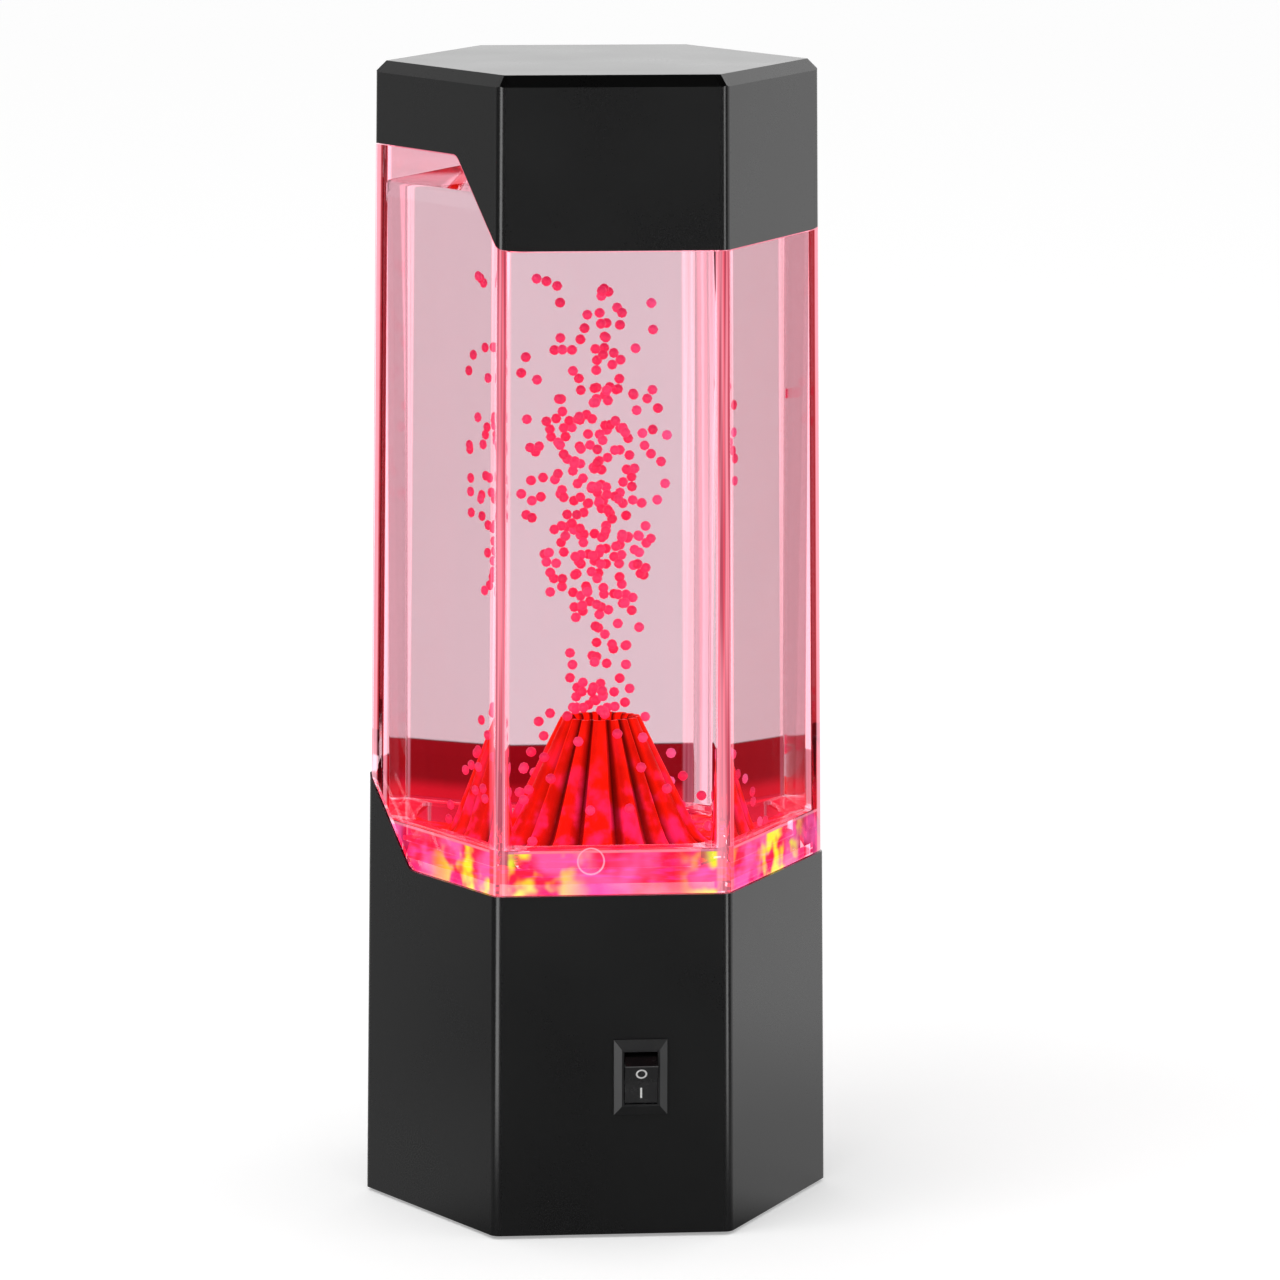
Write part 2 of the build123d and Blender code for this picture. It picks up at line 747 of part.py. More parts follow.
def socket_pin():
    """Contact pin in the middle of the socket's bore."""
    pin = extrude(Circle(socket_pin_radius), socket_bore_depth - socket_pin_recess)
    return socket_plane * Pos(0, 0, socket_flange - socket_bore_depth) * pin


def socket_nut():
    """Hexagon nut that holds the socket against the wall."""
    nut = RegularPolygon(nut_half_flat, 6, major_radius=False)
    nut -= RegularPolygon(socket_barrel_radius + press_gap, disc_sides)
    return socket_plane * Pos(0, 0, -base_wall) * extrude(nut, -nut_thickness)


def socket_lugs():
    """Two solder lugs behind the socket."""
    lug = Pos(0, 0, -socket_barrel_length) * extrude(Rectangle(lug_thickness, lug_width), -lug_length)
    return [socket_plane * Pos(side * lug_spacing / 2, 0, 0) * lug for side in (-1, 1)]


def cap_shell():
    """Black cap with a chamfered top, a stepped lower edge and bosses for the inner lid."""
    hip_slope = top_chamfer_width / top_chamfer_height
    peak_flat = flat(top_level) - cap_set_in - top_chamfer_width
    hip = [ring_points((peak_flat + hip_slope * (top_level - level)) / cos(pi / 6), level, 6)
           for level in (deep_level - overrun, top_level)]
    shell = hex_block(cap_set_in, deep_level, top_level) & skinned(hip)
    shell -= cap_edge(0, rim_level)
    shell -= inner_block(cap_set_in + cap_wall, deep_level - overrun, top_level - cap_roof)
    for turn in boss_turns:
        boss = peg(lid_boss_radius, lid_top, top_level - cap_roof + root_bite)
        shell += around(lid_boss_circle, turn) * boss
        hole = peg(screw_radius + press_gap, lid_top - overrun, lid_top + small_screw_length - lid_thickness)
        shell -= around(lid_boss_circle, turn) * hole
    return shell


def lid_plate():
    """Inner lid that rests on the tank's rim, with a grooved plug."""
    plate = inner_block(lid_rim_inset, lid_bottom, lid_top)
    plug = inner_ring(plug_inset, plug_inset + plug_wall, lid_bottom - plug_depth, lid_bottom)
    groove_top = lid_bottom - seal_drop
    plug -= inner_ring(plug_inset - overrun, plug_inset + seal_depth, groove_top - seal_height, groove_top)
    lid = plate + plug
    for turn in boss_turns:
        hole = peg(screw_radius + fit_gap, lid_bottom - overrun, lid_top + overrun)
        lid -= around(lid_boss_circle, turn) * hole
    return lid


def lid_seal():
    """Soft ring in the plug's groove."""
    top = lid_bottom - seal_drop - press_gap
    bottom = top + press_gap - seal_height
    return inner_ring(cavity_inset + seal_gap, plug_inset + seal_depth - press_gap, bottom, top)


save("base_housing", base_housing())
save("bottom_cover", bottom_cover())
save("rubber_feet", *[around(foot_circle, turn) * peg(foot_radius, 0, foot_thickness)
                      for turn in corner_turns])
save("cover_screws", *[around(cover_boss_circle, turn, rim_level + screw_head_height) * Rot(180, 0, 0)
                       * screw(screw_length) for turn in screw_turns])
save("control_board", control_board())
save("board_parts", *board_parts())
save("board_screws", *[Pos(x, y, board_bottom + board_thickness) * screw(small_screw_length)
                       for x, y in board_holes()])
save("deck_plate", deck_plate())
save("deck_screws", *[around(ledge_boss_circle, turn, deck_top) * screw(screw_length)
                      for turn in boss_turns])
save("motor_can", motor_can())
save("motor_end_cap", motor_end_cap())
save("motor_terminals", *motor_terminals())
save("motor_screws", *[Pos(side * motor_screw_circle, 0, deck_top) * screw(small_screw_length)
                       for side in (-1, 1)])
save("motor_shaft", rod(shaft_radius, deck_bottom - shaft_seat, holder_top - holder_thickness / 3))
save("magnet_holder", magnet_holder())
save("drive_magnets", *magnets(drive_magnet_width, drive_magnet_length, drive_magnet_height,
                               drive_magnet_circle, holder_top - drive_magnet_height))
save("led_board", led_board())
save("leds", *leds())
save("led_screws", *[around(post_circle, turn, led_board_top) * screw(small_screw_length)
                     for turn in boss_turns])
save("light_diffuser", light_diffuser())
save("tank_gasket", inner_ring(sleeve_inset, cavity_inset, deck_top, skirt_level))
save("tank", tank())
save("impeller_pin", rod(pin_radius, floor_underside + pin_skin, floor_underside + pin_skin + pin_length))
save("impeller", impeller())
save("impeller_magnets", *magnets(impeller_magnet_width, impeller_magnet_length, impeller_magnet_height,
                                  impeller_magnet_circle, floor_level + pin_boss_height + lift_gap))
save("volcano_cone", volcano_cone())
save("lava_beads", *lava_beads())
save("water", water())
save("switch_body", switch_body())
save("switch_rocker", switch_rocker())
save("switch_terminals", *switch_terminals())
save("power_socket", power_socket())
save("socket_pin", socket_pin())
save("socket_nut", socket_nut())
save("socket_lugs", *socket_lugs())
save("cap_shell", cap_shell())
save("lid_plate", lid_plate())
save("lid_seal", lid_seal())
save("lid_screws", *[around(lid_boss_circle, turn, lid_bottom) * Rot(180, 0, 0) * screw(small_screw_length)
                     for turn in boss_turns])
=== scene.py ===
import json
import math
import random

import bpy
from mathutils import Matrix, Vector


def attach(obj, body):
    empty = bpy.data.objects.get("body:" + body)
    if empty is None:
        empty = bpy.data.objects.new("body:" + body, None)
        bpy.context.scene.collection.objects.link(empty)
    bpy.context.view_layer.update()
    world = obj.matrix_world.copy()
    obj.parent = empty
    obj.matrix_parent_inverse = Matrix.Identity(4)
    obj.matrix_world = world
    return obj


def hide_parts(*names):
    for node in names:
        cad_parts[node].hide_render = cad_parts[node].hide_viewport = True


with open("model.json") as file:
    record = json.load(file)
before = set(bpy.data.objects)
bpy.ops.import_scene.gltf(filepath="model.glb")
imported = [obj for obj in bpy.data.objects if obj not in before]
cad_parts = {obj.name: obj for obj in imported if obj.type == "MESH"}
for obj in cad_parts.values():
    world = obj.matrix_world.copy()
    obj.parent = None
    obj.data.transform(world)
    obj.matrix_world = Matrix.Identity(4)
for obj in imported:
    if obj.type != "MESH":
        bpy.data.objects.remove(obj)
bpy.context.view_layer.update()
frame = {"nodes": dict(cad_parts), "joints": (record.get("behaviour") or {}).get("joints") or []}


# Base housing
# The drafted hexagonal shell that the lamp stands in, injection moulded in black ABS.
# The mould gives it a fine satin grain, a little smoother where hands rub the corners; those corners are also
# painted lighter as a painted highlight, and its sloped faces are painted near black as painted shade.
class Wire:
    """A shader socket that can be used in sums; its node method adds any other node."""

    def __init__(self, tree, socket=None):
        self.tree = tree
        self.socket = socket

    def node(self, kind, settings=None, values=None, out=0):
        """Add a node: its settings first, then the values or wires of its sockets."""
        new = self.tree.nodes.new(kind)
        for name, value in (settings or {}).items():
            if name == "stops":
                while len(new.color_ramp.elements) < len(value):
                    new.color_ramp.elements.new(0.5)
                for element, (place, colour) in zip(new.color_ramp.elements, value):
                    element.position = place
                    element.color = (*colour, 1)
            else:
                setattr(new, name, value)
        for name, value in (values or {}).items():
            if isinstance(value, Wire):
                self.tree.links.new(value.socket, new.inputs[name])
            else:
                new.inputs[name].default_value = value
        return Wire(self.tree, new.outputs[out] if new.outputs else None)

    def math(self, operation, left, right=0.0):
        return self.node("ShaderNodeMath", {"operation": operation}, {0: left, 1: right})

    def __add__(self, other):
        return self.math("ADD", self, other)

    def __radd__(self, other):
        return self.math("ADD", other, self)

    def __sub__(self, other):
        return self.math("SUBTRACT", self, other)

    def __rsub__(self, other):
        return self.math("SUBTRACT", other, self)

    def __mul__(self, other):
        return self.math("MULTIPLY", self, other)

    def __rmul__(self, other):
        return self.math("MULTIPLY", other, self)

    def __truediv__(self, other):
        return self.math("DIVIDE", self, other)

    def __abs__(self):
        return self.math("ABSOLUTE", self)

    def axis(self, name):
        """One coordinate of this vector."""
        return self.node("ShaderNodeSeparateXYZ", {}, {"Vector": self}, out=name)

    def rise(self, low, high):
        """Smooth step from 0 at low to 1 at high."""
        settings = {"interpolation_type": "SMOOTHSTEP"}
        return self.node("ShaderNodeMapRange", settings, {"Value": self, "From Min": low, "From Max": high})

    def blend(self, first, second):
        """Mix of two colours, with this wire as the factor."""
        return self.node("ShaderNodeMix", {"data_type": "RGBA"}, {0: self, 6: first, 7: second}, out=2)

    def mix_shaders(self, first, second):
        """Mix of two shaders, with this wire as the factor."""
        return self.node("ShaderNodeMixShader", {}, {0: self, 1: first, 2: second})

    def noise(self, scale, detail=2.0):
        """Noise on this wire's coordinates, from about 0.2 to 0.8."""
        return self.node("ShaderNodeTexNoise", {}, {"Vector": self, "Scale": scale, "Detail": detail})

    def bump(self, height, distance, strength=1.0):
        """Bumped normal from a height between 0 and 1 and its depth in metres."""
        return self.node("ShaderNodeBump", {}, {"Height": height, "Distance": distance, "Strength": strength})


def start_finish(name):
    """New material with an empty tree, and the wire of its Object coordinates."""
    material = bpy.data.materials.new(name)
    material.use_nodes = True
    material.node_tree.nodes.clear()
    place = Wire(material.node_tree).node("ShaderNodeTexCoord", out="Object")
    return material, place


def surface(place, values):
    """Principled surface of a finish, wired to its output."""
    shader = place.node("ShaderNodeBsdfPrincipled", {}, values)
    place.node("ShaderNodeOutputMaterial", {}, {"Surface": shader})


def dress(material, *nodes):
    """Give CAD nodes a finish."""
    for node in nodes:
        for slot in frame["nodes"][node].material_slots:
            slot.material = material


half, lean = 0.5, math.sqrt(3) / 2


def hexagon(place):
    """Distance to the nearest flat of the hexagon, and how far the nearest corner is, in metres."""
    across = place.axis("X")
    along = place.axis("Y")
    flat_a = abs(along)
    flat_b = abs(across * lean + along * half)
    flat_c = abs(across * lean - along * half)
    widest = place.math("MAXIMUM", flat_a, place.math("MAXIMUM", flat_b, flat_c))
    narrowest = place.math("MINIMUM", flat_a, place.math("MINIMUM", flat_b, flat_c))
    return widest, widest * 2 + narrowest - flat_a - flat_b - flat_c


black_plastic, place = start_finish("black_plastic")
widest, corner_gap = hexagon(place)
# Corner mask: the finish is worn smoother there, and the corners are painted lighter as a painted highlight.
rubbed_and_sheen = (1 - corner_gap.rise(0.0004, 0.0022)) * widest.rise(0.0505, 0.0525)
grain = place.noise(2400, 3)
handling = place.noise(22, 4)
pores = place.noise(700, 2)
tilt = place.node("ShaderNodeNewGeometry", out="Normal").axis("Z")
# Faces that slope between upright and flat are painted near black: painted shade on the chamfers.
chamfer_painted_shade = tilt.rise(0.35, 0.50) * (1 - tilt.rise(0.85, 0.95))
tone = (handling * 0.6 + rubbed_and_sheen * 0.4).blend((0.0040, 0.0040, 0.0042, 1), (0.0090, 0.0090, 0.0093, 1))
surface(place, {
    "Base Color": chamfer_painted_shade.blend(tone, (0.0006, 0.0006, 0.0006, 1)),
    "Roughness": 0.21 + handling * 0.09 + grain * 0.07 - rubbed_and_sheen * 0.08,
    "IOR": 1.5,
    "Normal": place.bump(grain * 0.7 + pores * 0.3, 0.000035, 0.5),
})
dress(black_plastic, "base_housing")


# Bottom cover, rubber feet and cover screws
# A flat plate of the base's black plastic closes it from below, held by three steel screws.
# Six soft rubber feet are pressed into its pockets.
dress(black_plastic, "bottom_cover")
rubber, place = start_finish("rubber")
dust = place.noise(160, 5)
crumb = place.noise(1900, 2)
surface(place, {
    "Base Color": dust.rise(0.35, 0.75).blend((0.013, 0.013, 0.013, 1), (0.034, 0.032, 0.030, 1)),
    "Roughness": 0.72 + crumb * 0.2,
    "IOR": 1.5,
    "Normal": place.bump(crumb, 0.00008, 0.6),
})
dress(rubber, "rubber_feet", "tank_gasket", "lid_seal")

steel, place = start_finish("steel")
turned = place.node("ShaderNodeMapping", {}, {"Vector": place, "Scale": (1, 1, 0.08)}).noise(5200, 2)
bloom = place.noise(420, 3)
surface(place, {
    "Base Color": bloom.blend((0.42, 0.42, 0.43, 1), (0.58, 0.57, 0.55, 1)),
    "Metallic": 1.0,
    "Roughness": 0.24 + turned * 0.2,
    "Normal": place.bump(turned, 0.00002, 0.5),
})
dress(steel, "cover_screws", "board_screws", "deck_screws", "motor_screws", "led_screws", "lid_screws",
      "motor_can", "motor_shaft", "impeller_pin", "socket_pin", "socket_nut")


# Control board
# A green lacquered glass-fibre board, screwed to the cover's posts.
# It carries a capacitor, a driver chip and two wire headers.
board, place = start_finish("board")
cloth = place.noise(3000, 1)
tracks = place.node("ShaderNodeTexBrick", {"offset": 0.37}, {
    "Vector": place,
    "Scale": 160.0,
    "Color1": (0.010, 0.105, 0.038, 1),
    "Color2": (0.014, 0.125, 0.048, 1),
    "Mortar": (0.028, 0.19, 0.075, 1),
    "Mortar Size": 0.03,
    "Brick Width": 0.8,
    "Row Height": 0.35,
}, out="Color")
surface(place, {
    "Base Color": tracks,
    "Roughness": 0.3 + cloth * 0.2,
    "Coat Weight": 0.3,
    "Normal": place.bump(cloth, 0.00003, 0.4),
})
dress(board, "control_board", "led_board")

board_part, place = start_finish("board_parts")
sleeve = place.noise(900, 3)
surface(place, {
    "Base Color": sleeve.blend((0.014, 0.015, 0.018, 1), (0.04, 0.042, 0.05, 1)),
    "Roughness": 0.38 + sleeve * 0.25,
    "Normal": place.bump(sleeve, 0.00004, 0.5),
})
dress(board_part, "board_parts", "motor_end_cap")


# Power socket
# A barrel socket of black plastic, clamped in the back wall by a hexagon nut.
# It has a bright steel contact pin and two brass solder lugs; the switch's frame is the same plastic. Faces
# turned left or right are painted lighter as a painted highlight.
socket_black, place = start_finish("switch_plastic")
matt = place.noise(3600, 2)
smear = place.noise(140, 4)
# Faces turned left or right get a lighter base colour: a painted highlight.
painted_side_light = abs(place.node("ShaderNodeNewGeometry", out="Normal").axis("X")).rise(0.25, 0.45)
smooth = smear.blend((0.006, 0.006, 0.0065, 1), (0.014, 0.014, 0.0145, 1))
surface(place, {
    "Base Color": painted_side_light.blend(smooth, (0.045, 0.045, 0.046, 1)),
    "Roughness": 0.26 + matt * 0.16 + smear * 0.08,
    "IOR": 1.5,
    "Normal": place.bump(matt, 0.00002, 0.5),
})
dress(socket_black, "power_socket", "switch_body")

brass, place = start_finish("brass")
tarnish = place.noise(650, 4)
surface(place, {
    "Base Color": tarnish.rise(0.3, 0.7).blend((0.72, 0.48, 0.17, 1), (0.50, 0.30, 0.10, 1)),
    "Metallic": 1.0,
    "Roughness": 0.22 + tarnish * 0.25,
    "Normal": place.bump(tarnish, 0.00003, 0.4),
})
dress(brass, "socket_lugs", "switch_terminals", "motor_terminals")


# Rocker switch
# A snap-in rocker in the front wall: glossy black rocker in a satin frame, with O and I printed in white.
# Above its ridge it is painted near black as painted shade, with a painted highlight line just under the
# ridge.
rocker_black, place = start_finish("rocker_plastic")
swirl = place.noise(260, 4)
speck = place.noise(4200, 2)
height = place.axis("Z")
ridge_level = 0.04967
# Above the ridge the rocker is painted near black: painted shade.
bevel = height.rise(ridge_level - 0.00006, ridge_level + 0.00006)
# A thin band just under the ridge is painted lighter: a painted highlight line.
ridge_painted_highlight = height.rise(ridge_level - 0.00034, ridge_level - 0.00026) * (1 - bevel)
tone = swirl.blend((0.015, 0.015, 0.0155, 1), (0.024, 0.024, 0.0245, 1))
tone = ridge_painted_highlight.blend(tone, (0.10, 0.10, 0.101, 1))
surface(place, {
    "Base Color": bevel.blend(tone, (0.0002, 0.0002, 0.0002, 1)),
    "Roughness": 0.16 + swirl * 0.14 + speck * 0.05,
    "IOR": 1.5,
    "Normal": place.bump(speck, 0.000012, 0.5),
})
dress(rocker_black, "switch_rocker")

mark_ink, place = start_finish("mark_ink")
worn = place.noise(5200, 3)
surface(place, {
    "Base Color": worn.rise(0.3, 0.75).blend((0.78, 0.78, 0.77, 1), (0.55, 0.55, 0.54, 1)),
    "Roughness": 0.45 + worn * 0.2,
    "Normal": place.bump(worn, 0.00001, 0.4),
})
hinge = next(joint for joint in frame["joints"] if joint["name"] == "rocker_tilt")
pivot = Vector(hinge["pos_m"])
draft = math.radians(0.57)
out_of_wall = Vector((0, -math.cos(draft), math.sin(draft)))
up_wall = Vector((0, math.sin(draft), math.cos(draft)))
face_height = 0.0045
v_line = -0.000998
upper_slant = math.radians(25)
ink = 0.00003
ring_radius = 0.00133
ring_line = 0.00024
ring_reach = 0.00275
bar_length = 0.0029
bar_width = 0.00052
bar_reach = -0.0031


def take_whole():
    """Take the whole mesh in hand in edit mode."""
    bpy.ops.object.mode_set(mode="EDIT")
    bpy.ops.mesh.select_all(action="SELECT")


def close_up():
    """Turn every face of the mesh in hand outwards and leave edit mode."""
    bpy.ops.mesh.select_all(action="SELECT")
    bpy.ops.mesh.normals_make_consistent(inside=False)
    bpy.ops.object.mode_set(mode="OBJECT")


def thicken_mark():
    """Give the flat mark in hand the thickness of the ink."""
    bpy.ops.mesh.select_all(action="SELECT")
    bpy.ops.mesh.extrude_region_move(TRANSFORM_OT_translate={"value": (0, 0, ink)})
    close_up()


def coat(piece, material):
    """Give a modelled piece a finish."""
    piece.data.materials.clear()
    piece.data.materials.append(material)


bpy.ops.object.select_all(action="DESELECT")
bpy.ops.mesh.primitive_circle_add(vertices=40, radius=ring_radius + ring_line, fill_type="NOTHING")
ring = bpy.context.object
ring.name = "mark_off"
take_whole()
inner = (ring_radius - ring_line) / (ring_radius + ring_line)
bpy.ops.mesh.extrude_edges_move()
bpy.ops.transform.resize(value=(inner, inner, 1))
thicken_mark()

bpy.ops.object.select_all(action="DESELECT")
bpy.ops.mesh.primitive_plane_add(size=1)
bar = bpy.context.object
bar.name = "mark_on"
take_whole()
bpy.ops.transform.resize(value=(bar_width, bar_length, 1))
bpy.ops.mesh.bevel(offset=bar_width / 5, segments=2, affect="VERTICES")
thicken_mark()

for mark, reach, slant in ((ring, ring_reach, upper_slant), (bar, bar_reach, 0)):
    rise = up_wall * math.cos(slant) + out_of_wall * math.sin(slant)
    outward = out_of_wall * math.cos(slant) - up_wall * math.sin(slant)
    spot = pivot + out_of_wall * face_height + up_wall * v_line + rise * reach
    turn = Matrix(((1, 0, 0), rise, outward)).transposed().to_4x4()
    mark.data.transform(Matrix.Translation(spot) @ turn)
    coat(mark, mark_ink)
    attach(mark, "rocker")


# Deck, motor and drive magnets
# A deck moulded in black plastic is screwed to the base's ledge and carries the motor below it.
# The motor turns a disc of four plated block magnets above the deck.
inner_plastic, place = start_finish("inner_plastic")
flow = place.noise(35, 4)
fine = place.noise(2200, 2)
surface(place, {
    "Base Color": flow.blend((0.020, 0.020, 0.021, 1), (0.045, 0.044, 0.044, 1)),
    "Roughness": 0.45 + flow * 0.15 + fine * 0.1,
    "Normal": place.bump(fine, 0.00004, 0.5),
})
dress(inner_plastic, "deck_plate", "magnet_holder", "impeller", "lid_plate")

magnet, place = start_finish("magnet")
plating = place.noise(1500, 3)
surface(place, {
    "Base Color": plating.blend((0.30, 0.30, 0.31, 1), (0.46, 0.45, 0.44, 1)),
    "Metallic": 1.0,
    "Roughness": 0.2 + plating * 0.2,
    "Normal": place.bump(plating, 0.00002, 0.4),
})
dress(magnet, "drive_magnets", "impeller_magnets")


# Light board, lights and diffuser
# Twelve square lights on a hexagonal board shine up through a frosted tray under the tank's floor.
# The tray's own glow stands for the light that comes through it.
light, place = start_finish("led")
phosphor = place.noise(900, 2)
surface(place, {
    "Base Color": phosphor.blend((0.85, 0.75, 0.35, 1), (0.95, 0.90, 0.60, 1)),
    "Roughness": 0.25 + phosphor * 0.2,
    "Emission Color": phosphor.rise(0.3, 0.7).blend((1.0, 0.16, 0.25, 1), (1.0, 0.75, 0.15, 1)),
    "Emission Strength": 1.2,
})
dress(light, "leds")

diffuser, place = start_finish("diffuser")
patch = place.noise(60, 1)
frost = place.noise(1600, 3)
surface(place, {
    "Base Color": frost.blend((0.30, 0.06, 0.13, 1), (0.40, 0.10, 0.18, 1)),
    "Roughness": 0.5 + frost * 0.3,
    "Emission Color": patch.rise(0.38, 0.62).blend((0.74, 0.006, 0.13, 1), (0.90, 0.30, 0.20, 1)),
    "Emission Strength": 1.0,
    "Normal": place.bump(frost, 0.00006, 0.6),
})
dress(diffuser, "light_diffuser")


# Tank
# A clear moulded vessel of thick acrylic: a sleeve in the base and cap, and a flush band between them.
# Its emission carries painted glow for the light from below: in its foot, its ledge, its gate mark, its
# corners and its cut edges, and a dark red band on its back walls.
shelf_level = 0.1086
shelf_flat = 0.0540
dark_band_top = 0.1255
sleeve_level = 0.2000
gate_spot = (-0.006, -0.0556, 0.1064)
gate_radius = 0.00365
dull = (0.0,) * 3
keen = (1.0,) * 3
# Directions round the lamp, as shares of a turn, where yellow patches of painted glow show in the tank's
# foot.
glow_patch_stops = ((0.0, dull), (0.07, keen), (0.12, dull), (0.25, keen), (0.34, dull), (0.44, keen),
               (0.50, dull), (0.58, dull), (0.62, keen), (0.70, keen), (0.735, dull), (0.80, dull),
               (0.825, keen), (0.85, dull), (0.875, dull), (0.90, keen), (0.945, keen), (0.97, dull))


def turn_ramp(place, stops):
    """Colours by direction round the lamp's axis, as shares of a full turn."""
    turn = place.math("ARCTAN2", place.axis("Y"), place.axis("X")) / (2 * math.pi)
    turn = place.math("FRACT", turn + 1.0)
    return place.node("ShaderNodeValToRGB", {"stops": stops}, {"Fac": turn}, out="Color")


clear_plastic, place = start_finish("clear_plastic")
across = place.axis("X")
along = place.axis("Y")
height = place.axis("Z")
wave = place.noise(26, 2)
haze = place.noise(480, 3)
swirl = place.noise(85, 2)
fleck = place.noise(120, 2)
streaks = place.node("ShaderNodeMapping", {}, {"Vector": place, "Scale": (1, 1, 0.003)}).noise(1100, 1)
outside = 1 - place.node("ShaderNodeNewGeometry", out="Backfacing")
facing_up = place.node("ShaderNodeNewGeometry", out="Normal").axis("Z")
widest, corner_gap = hexagon(place)
inward = 1 - widest.rise(shelf_flat - 0.0005, shelf_flat + 0.0005)

# Painted glow in the foot: pink with yellow patches below the shelf, red on the inner well walls, and dim red
# above the shelf, fading out higher up.
foot = (1 - height.rise(0.112, 0.126)) * outside
below_shelf = 1 - height.rise(shelf_level, shelf_level + 0.0005)
yellow_glow_patches = fleck.rise(0.42, 0.60) * turn_ramp(place, glow_patch_stops)
red_light = swirl.blend((0.70, 0.006, 0.018, 1), (0.92, 0.03, 0.09, 1))
rosy_glow = swirl.rise(0.38, 0.64).blend((0.50, 0.006, 0.060, 1), (0.80, 0.10, 0.36, 1))
rosy_glow = yellow_glow_patches.blend(rosy_glow, (0.82, 0.89, 0.03, 1))
rosy_glow = inward.blend(rosy_glow, red_light)
glow = below_shelf.blend((0.10, 0.0005, 0.002, 1), rosy_glow)
glow = foot.blend((0, 0, 0, 1), glow)

# A band on the back walls above the shelf carries a painted dark red glow, brighter red low down.
painted_back_band = height.rise(shelf_level + 0.0006, shelf_level + 0.0012) * along.rise(0.0005, 0.003)
painted_back_band = painted_back_band * (1 - height.rise(dark_band_top - 0.0003, dark_band_top + 0.0003))
back_band_glow = height.rise(0.1110, 0.1155).blend((0.90, 0.010, 0.028, 1), (0.33, 0.003, 0.008, 1))
glow = (painted_back_band * outside).blend(glow, back_band_glow)

# Painted pale pink glow along the ledge just above the shelf, red on the inner faces.
ledge = height.rise(shelf_level, shelf_level + 0.0003) * outside
ledge = ledge * (1 - height.rise(shelf_level + 0.0007, shelf_level + 0.0011))
glow = ledge.blend(glow, inward.blend((0.66, 0.21, 0.30, 1), red_light))

# A painted pink glow ring round the moulded gate mark.
from_gate = {0: place, 1: gate_spot}
gate_gap = place.node("ShaderNodeVectorMath", {"operation": "DISTANCE"}, from_gate, out="Value")
gate_rim_glow = gate_gap.rise(gate_radius - 0.00035, gate_radius - 0.00005) * outside
gate_rim_glow = gate_rim_glow * (1 - gate_gap.rise(gate_radius + 0.00005, gate_radius + 0.00035))
glow = (gate_rim_glow * 0.7).blend(glow, (0.95, 0.45, 0.60, 1))

# Painted pink glow on upward-facing faces above the sleeve level.
cut_edge_glow = facing_up.rise(0.25, 0.45) * height.rise(sleeve_level, sleeve_level + 0.001) * outside
glow = cut_edge_glow.blend(glow, (0.80, 0.20, 0.28, 1))

# Painted glow along the tank's corners, paler and lighter on the left and right ones.
corner = (1 - corner_gap.rise(0.0024, 0.0033)) * outside
corner_light = streaks.rise(0.35, 0.68).blend((0.46, 0.065, 0.105, 1), (0.85, 0.28, 0.36, 1))
side_light = streaks.blend((0.70, 0.26, 0.33, 1), (0.90, 0.50, 0.58, 1))
corner_light = abs(across).rise(0.045, 0.055).blend(corner_light, side_light)
surface(place, {
    # Near black where the painted back band is, so that only its painted glow shows there.
    "Base Color": painted_back_band.blend((0.96, 0.72, 0.78, 1), (0.02, 0.0005, 0.001, 1)),
    "Roughness": haze * 0.003,
    "IOR": 1.49,
    "Specular Tint": (0.35, 0.12, 0.15, 1),
    "Transmission Weight": 1.0,
    "Emission Color": corner.blend(glow, corner_light),
    "Emission Strength": 1.0,
    "Normal": place.bump(wave, 0.0002, 0.12),
})
dress(clear_plastic, "tank")


# Volcano cone
# A red translucent moulding: a steep fluted cone with an open crater, on a hexagonal flange.
# Its ridges carry a painted red glow for the light from below, pinker near its foot; its grooves are painted
# dark as painted shade.
flute_count = 17
steps = 8
cone_height = 0.0375
crater_radius = 0.0107
slope_share = 0.48
flange_top = 0.1037
floor_level = 0.1025
foot_radius = 0.04005
flare_fall = 0.0015
groove_half = 0.23
groove_share = 0.12
crown_share = 0.03
full_groove_rise = 0.0030
groove_shade_rise = 0.0028
flange_flat = 0.04185
flange_bevel = 0.0004
hexagon_turn = math.radians(30)
flank_rises = (0.0012, 0.0018, 0.0026, 0.0038, 0.0054, 0.0085, 0.014, 0.020, 0.028, 0.0365, 0.0375)
crater_steps = ((0.90, 0.0), (0.93, -0.0008), (0.88, -0.010), (0.5, -0.002))


def cone_radius(rise):
    """Radius of the cone at a height above the tank's floor: straight flank and a quick flare."""
    flare = foot_radius - crater_radius - slope_share * cone_height
    return crater_radius + slope_share * (cone_height - rise) + flare * math.exp(-rise / flare_fall)


def flute_turns():
    """Turn and groove depth of each point round the cone, in flutes."""
    points = []
    for k in range(flute_count):
        middle = k + math.sin(2 * k) / 7
        following = k + 1 + math.sin(2 * k + 2) / 7
        depth = groove_share * (1 - math.sin(k * k) / 3)
        points.append((middle - groove_half * 0.6, depth * 0.7, 0.45))
        points.append((middle, depth, 1.0))
        points.append((middle + groove_half * 0.6, depth * 0.7, 0.80))
        points.append((middle + groove_half, 0.0, 0.0))
        for part in range(1, steps - 4):
            share = part / (steps - 4)
            place_on = middle + groove_half + (following - middle - 2 * groove_half) * share
            points.append((place_on, -crown_share * math.sin(math.pi * share), 0.0))
        points.append((following - groove_half, 0.0, 0.0))
    return points


